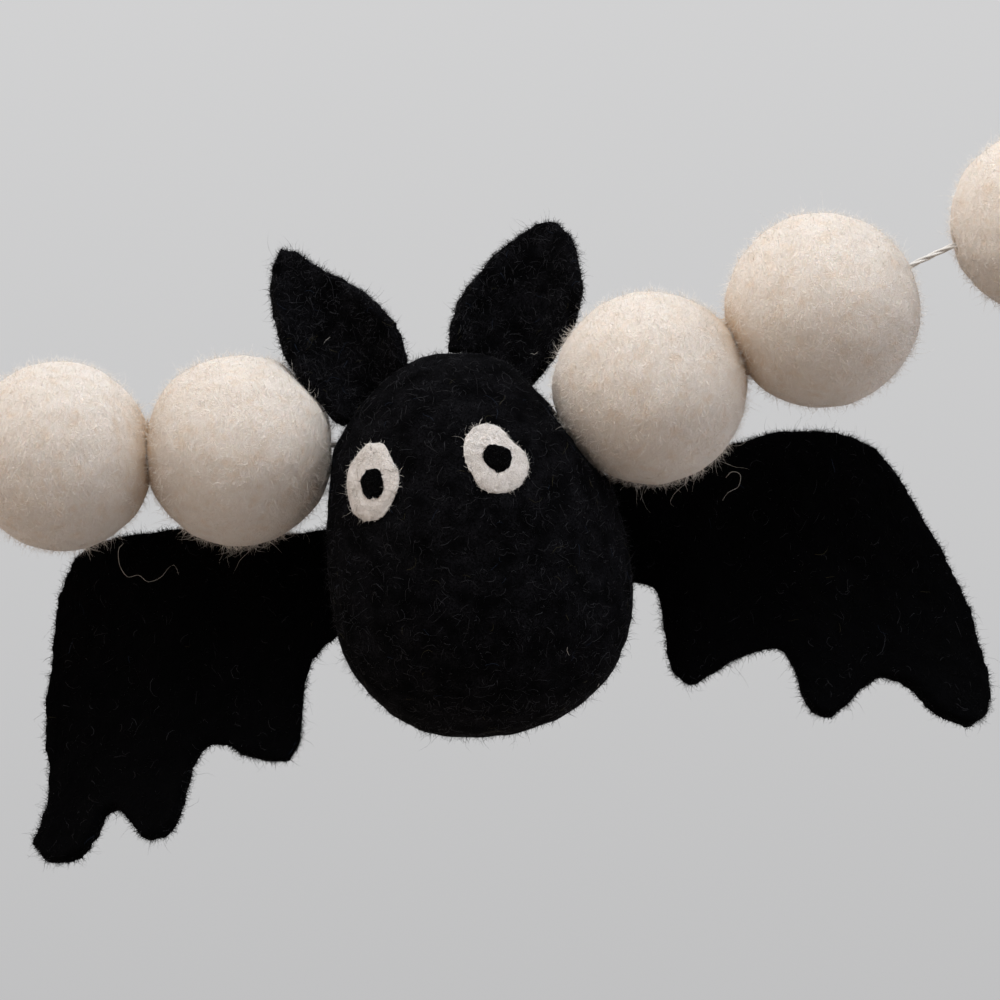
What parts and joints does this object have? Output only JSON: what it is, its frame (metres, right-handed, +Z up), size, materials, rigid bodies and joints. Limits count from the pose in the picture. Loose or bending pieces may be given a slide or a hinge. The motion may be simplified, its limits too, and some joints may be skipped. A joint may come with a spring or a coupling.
{
  "type": "felt bat garland",
  "caption": "Hanging garland: a felt bat with cupped ears and scalloped wings, threaded on a thin cord between wool felt balls, with a knotted loop at each end.",
  "frame": {"origin": "tip of the right hanging loop, on the cord's centre line where it goes over its hook", "axes": "+X along the garland towards its right end, -Y the way the bat looks, +Z up"},
  "size_m": [0.2003, 0.0376, 0.1018],
  "materials": {
    "cream_wool_felt": "matte wet-felted wool with a short fuzz",
    "black_wool_felt": "matte black wool felt with a short fuzz",
    "white_wool": "needled white wool",
    "white_cord": "thin twisted cotton cord"
  },
  "bodies": {
    "root": {"bat_body": "black_wool_felt", "ear_left": "black_wool_felt", "ear_right": "black_wool_felt", "wing_left": "black_wool_felt", "wing_right": "black_wool_felt", "eye_left": "white_wool", "eye_right": "white_wool", "pupil_left": "black_wool_felt", "pupil_right": "black_wool_felt", "ball_left_outer": "cream_wool_felt", "ball_left_inner": "cream_wool_felt", "ball_right_inner": "cream_wool_felt", "ball_right_middle": "cream_wool_felt", "ball_right_outer": "cream_wool_felt", "cord": "white_cord", "knot_left": "white_cord", "knot_right": "white_cord", "loop_left": "white_cord", "loop_right": "white_cord"}
  },
  "joints": []
}
